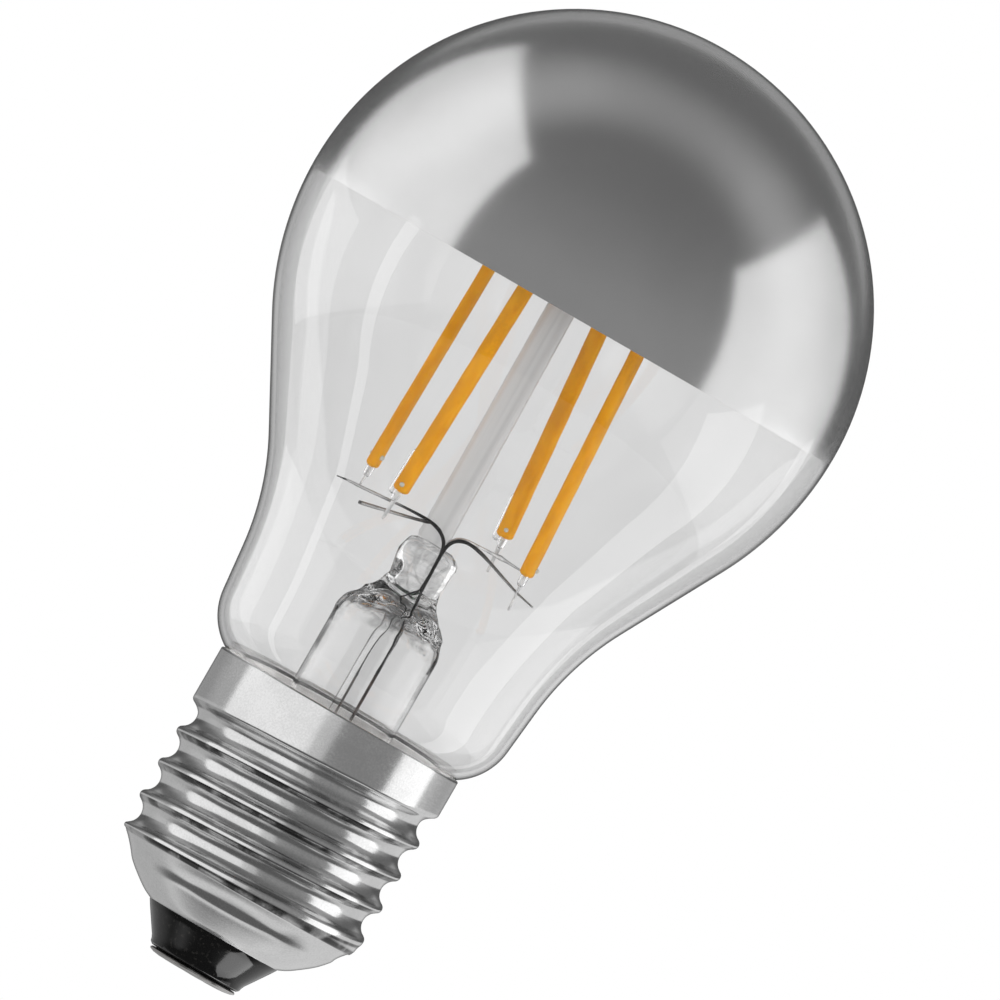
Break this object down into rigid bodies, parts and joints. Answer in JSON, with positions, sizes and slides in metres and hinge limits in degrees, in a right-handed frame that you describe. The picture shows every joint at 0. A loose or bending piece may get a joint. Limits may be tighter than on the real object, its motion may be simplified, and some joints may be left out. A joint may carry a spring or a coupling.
{
  "type": "silver crown bulb",
  "caption": "Pear-shaped clear filament bulb with a mirrored crown, upright coated filaments on a glass stem and a rolled Edison screw cap.",
  "frame": {"origin": "middle of the centre contact's flat face, on the bulb's axis", "axes": "+Z along the axis from the contact to the crown, +X to the right and +Y to the back as in the picture, with the cap below"},
  "size_m": [0.059, 0.059, 0.1053],
  "materials": {
    "clear_glass": "clear blown soda glass, polished",
    "mirror_coat": "silvered coat, soft sheen",
    "stem_glass": "clear flame-worked glass",
    "phosphor_coat": "orange phosphor in silicone, satin",
    "nickel": "drawn nickel wire, dull",
    "copper": "bare copper wire",
    "cap_aluminium": "rolled sheet, satin",
    "black_glass": "black vitrite, glossy",
    "contact_metal": "tinned contact, satin",
    "cement": "basing cement, rough",
    "board": "solder-masked board",
    "capacitor_sleeve": "shrunk sleeve, glossy",
    "ferrite": "ferrite drum, matt",
    "moulded_black": "moulded resin, matt",
    "resistor_coat": "lacquered",
    "wire_sleeve": "insulated wire"
  },
  "bodies": {
    "root": {"glass_bulb": "clear_glass", "crown_mirror": "mirror_coat", "stem_flare": "stem_glass", "exhaust_tube": "stem_glass", "centre_post": "stem_glass", "filament_back_left": "phosphor_coat", "filament_front_left": "phosphor_coat", "filament_back_right": "phosphor_coat", "filament_front_right": "phosphor_coat", "tabs_back_left": "nickel", "tabs_front_left": "nickel", "tabs_back_right": "nickel", "tabs_front_right": "nickel", "lead_left": "nickel", "arm_left": "nickel", "tail_left": "copper", "lead_right": "nickel", "arm_right": "nickel", "tail_right": "copper", "top_wire_1": "nickel", "top_wire_2": "nickel", "screw_sleeve": "cap_aluminium", "insulator": "black_glass", "centre_contact": "contact_metal", "basing_cement": "cement", "driver_board": "board", "capacitor": "capacitor_sleeve", "choke": "ferrite", "rectifier": "moulded_black", "driver_chip": "moulded_black", "fuse_resistor": "resistor_coat", "live_wire": "wire_sleeve", "neutral_wire": "copper"}
  },
  "joints": []
}
